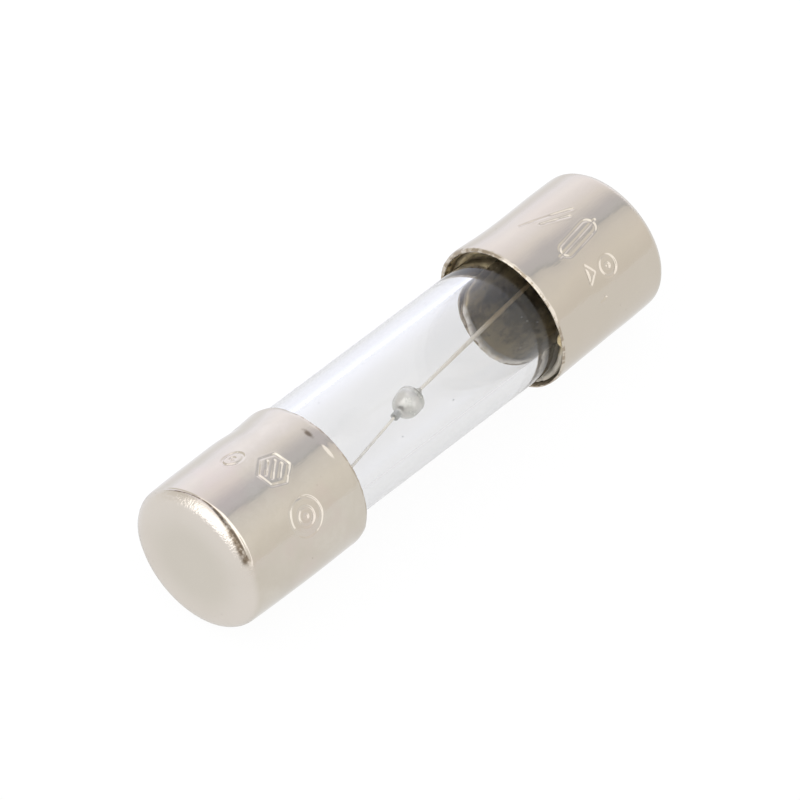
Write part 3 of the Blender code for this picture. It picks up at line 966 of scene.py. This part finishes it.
def wire(material):
    """The drawn wire, thicker past the bead where tin has run along it, a little lumpy."""
    path = wire_points()
    random = np.random.default_rng(11)
    step = np.gradient(path, axis=0)
    step /= np.linalg.norm(step, axis=1, keepdims=True)
    side = np.cross(step, TOWARDS + 0.3 * HANGING)
    side /= np.linalg.norm(side, axis=1, keepdims=True)
    up = np.cross(side, step)
    tinned = np.clip((path[:, 0] - TINNED_FROM) / TINNED_LENGTH, 0.0, 1.0)
    radius = NEAR_WIRE + (FAR_WIRE - NEAR_WIRE) * tinned
    uneven = np.convolve(random.standard_normal(len(path) + 4), np.ones(5) / 5, "valid")
    radius = radius * (1.0 + WIRE_UNEVEN * uneven)
    angles = evenly(WIRE_SIDES)[None, :, None]
    spokes = np.cos(angles) * side[:, None, :] + np.sin(angles) * up[:, None, :]
    rings = path[:, None, :] + radius[:, None, None] * spokes
    first, last = (np.repeat(end[:, None, :], WIRE_SIDES, axis=1) for end in (path[:1], path[-1:]))
    grid = np.concatenate((first, rings, last))
    return dressed(grid_object("wire", grid, end_poles(len(grid))), material, "silvered_copper", "fuse_wire")


# The bead, in metres along the wire from its centre
BEAD_HALF = 0.54 * MM
BEAD_RADIUS = 0.485 * MM
BEAD_START = -0.83 * MM
BEAD_END = 0.84 * MM
NOSE_RADIUS = 0.135 * MM
NOSE_ROUNDED = -0.79 * MM
POINT_START = 0.30 * MM
POINT_RADIUS = 0.40 * MM
# How sharply the ball, the point and the nose meet
BEAD_SHARPNESS = 7.0
BEAD_LUMPS = 0.028
BEAD_SIDES = 72


def bead_outline():
    """Stations along the bead and its radius at each: a ball, a point ahead and a nose behind."""
    turns = np.concatenate(([0.0], np.linspace(0.14, math.pi - 0.14, 86), [math.pi]))
    stations = BEAD_START + (BEAD_END - BEAD_START) * (0.5 - 0.5 * np.cos(turns))
    ball = BEAD_RADIUS * np.sqrt(np.clip(1.0 - (stations / BEAD_HALF) ** 2, 0.0, 1.0))
    point = np.clip((BEAD_END - stations) / (BEAD_END - POINT_START), 0.0, 1.0) ** 1.25 * POINT_RADIUS
    point *= stations > 0.2 * MM
    nose = np.sqrt(np.clip((stations - BEAD_START) / (NOSE_ROUNDED - BEAD_START), 0.0, 1.0))
    nose *= NOSE_RADIUS * (stations < 0.0)
    power = BEAD_SHARPNESS
    return stations, (ball**power + point**power + nose**power) ** (1.0 / power)


def bead(material):
    """The tin blob: round, drawn to a point where the wire leaves it, with a short nose behind."""
    side = np.cross(WIRE_AXIS, TOWARDS)
    side /= np.linalg.norm(side)
    up = np.cross(side, WIRE_AXIS)
    stations, radii = bead_outline()
    along, angle = np.meshgrid(stations, evenly(BEAD_SIDES), indexing="ij")
    lump = waves_round(along / MM, 0.5, angle, 5, 4, 1.4, 0.6)
    out = radii[:, None] * (1.0 + BEAD_LUMPS * lump * smooth(-0.7 * MM, -0.3 * MM, along))
    spokes = np.cos(angle)[..., None] * side + np.sin(angle)[..., None] * up
    grid = BEAD_CENTRE + WIRE_AXIS * along[..., None] + out[..., None] * spokes
    return dressed(grid_object("bead", grid, end_poles(len(stations))), material, "tin", "tin_bead")


# ---------------------------------------- stage

FLOOR_LEVEL = -CAP_RADIUS
FLOOR_HALF = 3.0
CAMERA_BACK = Vector((-0.5413, -0.4726, 0.6954))
CAMERA_DISTANCE = 0.3120
CAMERA_LENS = 442.0
SENSOR = 36.0
# The fuse's middle sits a little right of and above the frame's centre.
CAMERA_SHIFT = (-0.003625, -0.004125)

# Light round the fuse's axis: (degrees from straight up towards -Y, red, green, blue)
SKY = [
    (-180.0, 1.00, 1.00, 1.02),
    (-105.0, 1.13, 1.17, 1.31),
    (-85.0, 1.27, 1.30, 1.46),
    (-65.0, 1.34, 1.35, 1.48),
    (-45.0, 1.20, 1.20, 1.31),
    (-28.0, 1.10, 1.09, 1.14),
    (-16.0, 0.93, 0.93, 0.99),
    (-6.0, 0.79, 0.80, 0.88),
    (6.0, 0.76, 0.78, 0.85),
    (10.5, 0.72, 0.74, 0.80),
    (12.0, 0.58, 0.61, 0.66),
    (14.0, 0.77, 0.78, 0.81),
    (17.0, 0.86, 0.86, 0.88),
    (30.0, 0.96, 0.95, 0.95),
    (55.0, 1.01, 0.99, 0.96),
    (84.0, 0.93, 0.91, 0.88),
    (110.0, 1.00, 1.00, 1.00),
    (180.0, 1.00, 1.00, 1.02),
]
SKY_STRENGTH = 1.045
SOFTBOX = (2.0, 2.0, 1.99)
SOFTBOX_SIDE = (1.44, 1.44, 1.45)
SHADE = (0.89, 0.87, 0.84)

# The sheet: a dark skin under its own glow, which brightens and turns blue behind the fuse
SHEET_TONES = ((0.045, 0.045, 0.045), (0.035, 0.035, 0.035))
GLOW = (0.955, 0.955, 0.955)
GLOW_CLOSE = (1.05, 1.06, 1.10)
GLOW_AWAY = (1.16, 1.19, 1.31)


def sky_colour(g, y, z):
    """The surround's colour, which changes only with the turn round the fuse's axis."""
    turn = g.maths("ARCTAN2", g.times(y, -1.0), z)
    share = g.add("ShaderNodeMapRange", {"From Min": -math.pi, "From Max": math.pi})
    g.link(turn, share.inputs["Value"])
    ramp = g.add("ShaderNodeValToRGB")
    ramp.color_ramp.interpolation = "LINEAR"
    stops = ramp.color_ramp.elements
    while len(stops) < len(SKY):
        stops.new(0.5)
    for stop, light in zip(stops, SKY):
        stop.position = (light[0] + 180.0) / 360.0
    for stop, light in zip(stops, SKY):
        stop.color = (*light[1:], 1.0)
    g.link(share.outputs["Result"], ramp.inputs["Fac"])
    return ramp.outputs["Color"]


def studio_light():
    """A soft surround: dimmer straight overhead, with one large softbox beside the near end."""
    world = bpy.data.worlds.new("studio")
    world.use_nodes = True
    bpy.context.scene.world = world
    g = Graph(world.node_tree, "Generated")
    x, y, z = g.axes()
    # The softbox's edges: four straight ones and two that cut its lower corners off
    slope = g.plus(y, g.times(z, 0.7))
    corners = g.times(g.maths("MAXIMUM", g.remap(slope, -0.20, -0.02), g.remap(x, -0.55, -0.40)),
                      g.maths("MAXIMUM", g.remap(y, -0.80, -0.73), g.remap(x, -0.24, -0.06)))
    inside = g.times(g.remap(x, 0.40, 0.28), g.remap(z, 0.04, 0.14), g.remap(y, 0.58, 0.40), corners)
    beside = g.times(g.remap(x, 0.40, 0.28), g.remap(y, 0.40, 0.58))
    light = g.mix(beside, sky_colour(g, y, z), SHADE)
    light = g.mix(inside, light, SOFTBOX_SIDE)
    light = g.mix(g.times(inside, g.remap(x, 0.05, -0.35)), light, SOFTBOX)
    background = g.tree.nodes["Background"]
    g.link(light, background.inputs["Color"])
    background.inputs["Strength"].default_value = SKY_STRENGTH


def light_table():
    """The pale floor: a softly glowing white sheet."""
    corners = [(-1, -1), (1, -1), (1, 1), (-1, 1)]
    points = [(x * FLOOR_HALF, y * FLOOR_HALF, FLOOR_LEVEL) for x, y in corners]
    data = bpy.data.meshes.new("floor")
    data.from_pydata(points, [], [(0, 1, 2, 3)])
    floor = bpy.data.objects.new("floor", data)
    bpy.context.collection.objects.link(floor)
    n = Material("white_sheet")
    x, y, _ = n.axes()
    right = n.remap(x, -13.0 * MM, -9.5 * MM)
    close = n.times(right, n.remap(y, 3.2 * MM, 7.0 * MM))
    away = n.times(right, n.remap(y, 6.0 * MM, 60.0 * MM))
    glow = n.mix(away, n.mix(close, GLOW, GLOW_CLOSE), GLOW_AWAY)
    data.materials.append(n.set(Base_Color=n.mix(n.noise(14.0), *SHEET_TONES), Roughness=0.9,
                                Specular_IOR_Level=0.0, Emission_Color=glow, Emission_Strength=1.0))


def camera():
    data = bpy.data.cameras.new("camera")
    data.lens = CAMERA_LENS
    data.sensor_width = SENSOR
    data.clip_start = 0.01
    data.clip_end = 50.0
    data.shift_x, data.shift_y = CAMERA_SHIFT
    eye = bpy.data.objects.new("camera", data)
    bpy.context.collection.objects.link(eye)
    back = CAMERA_BACK.normalized()
    eye.location = back * CAMERA_DISTANCE
    eye.rotation_mode = "QUATERNION"
    eye.rotation_quaternion = (-back).to_track_quat("-Z", "Y")
    bpy.context.scene.camera = eye


def main():
    scene = bpy.context.scene
    scene.view_settings.view_transform = "Standard"
    scene.cycles.transmission_bounces = 16
    scene.cycles.max_bounces = 20
    camera()
    studio_light()
    light_table()

    nickel = nickel_material()
    end_cap("plated_cap_near", "end_cap_near", nickel, side=-1, length=NEAR_LENGTH, barrel=NEAR_BARREL,
            marks=NEAR_MARKS, dents=NEAR_DENTS, lean=NEAR_LEAN, seed=31)
    end_cap("plated_cap_far", "end_cap_far", nickel, side=1, length=FAR_LENGTH, barrel=FAR_BARREL,
            marks=FAR_MARKS, dents=FAR_DENTS, lean=FAR_LEAN, seed=47)
    glass_tube(glass_material())
    cement = cement_material()
    cement_ring("cement_near", "cement_ring_near", cement, -1, NEAR_LENGTH, NEAR_LEAN, seed=3)
    cement_ring("cement_far", "cement_ring_far", cement, 1, FAR_LENGTH, FAR_LEAN, seed=4)
    solder = solder_material()
    solder_pool("solder_pool_near", "solder_near", solder, -1, seed=8)
    solder_pool("solder_pool_far", "solder_far", solder, 1, seed=9)
    wire(wire_material())
    bead(tin_material())


main()
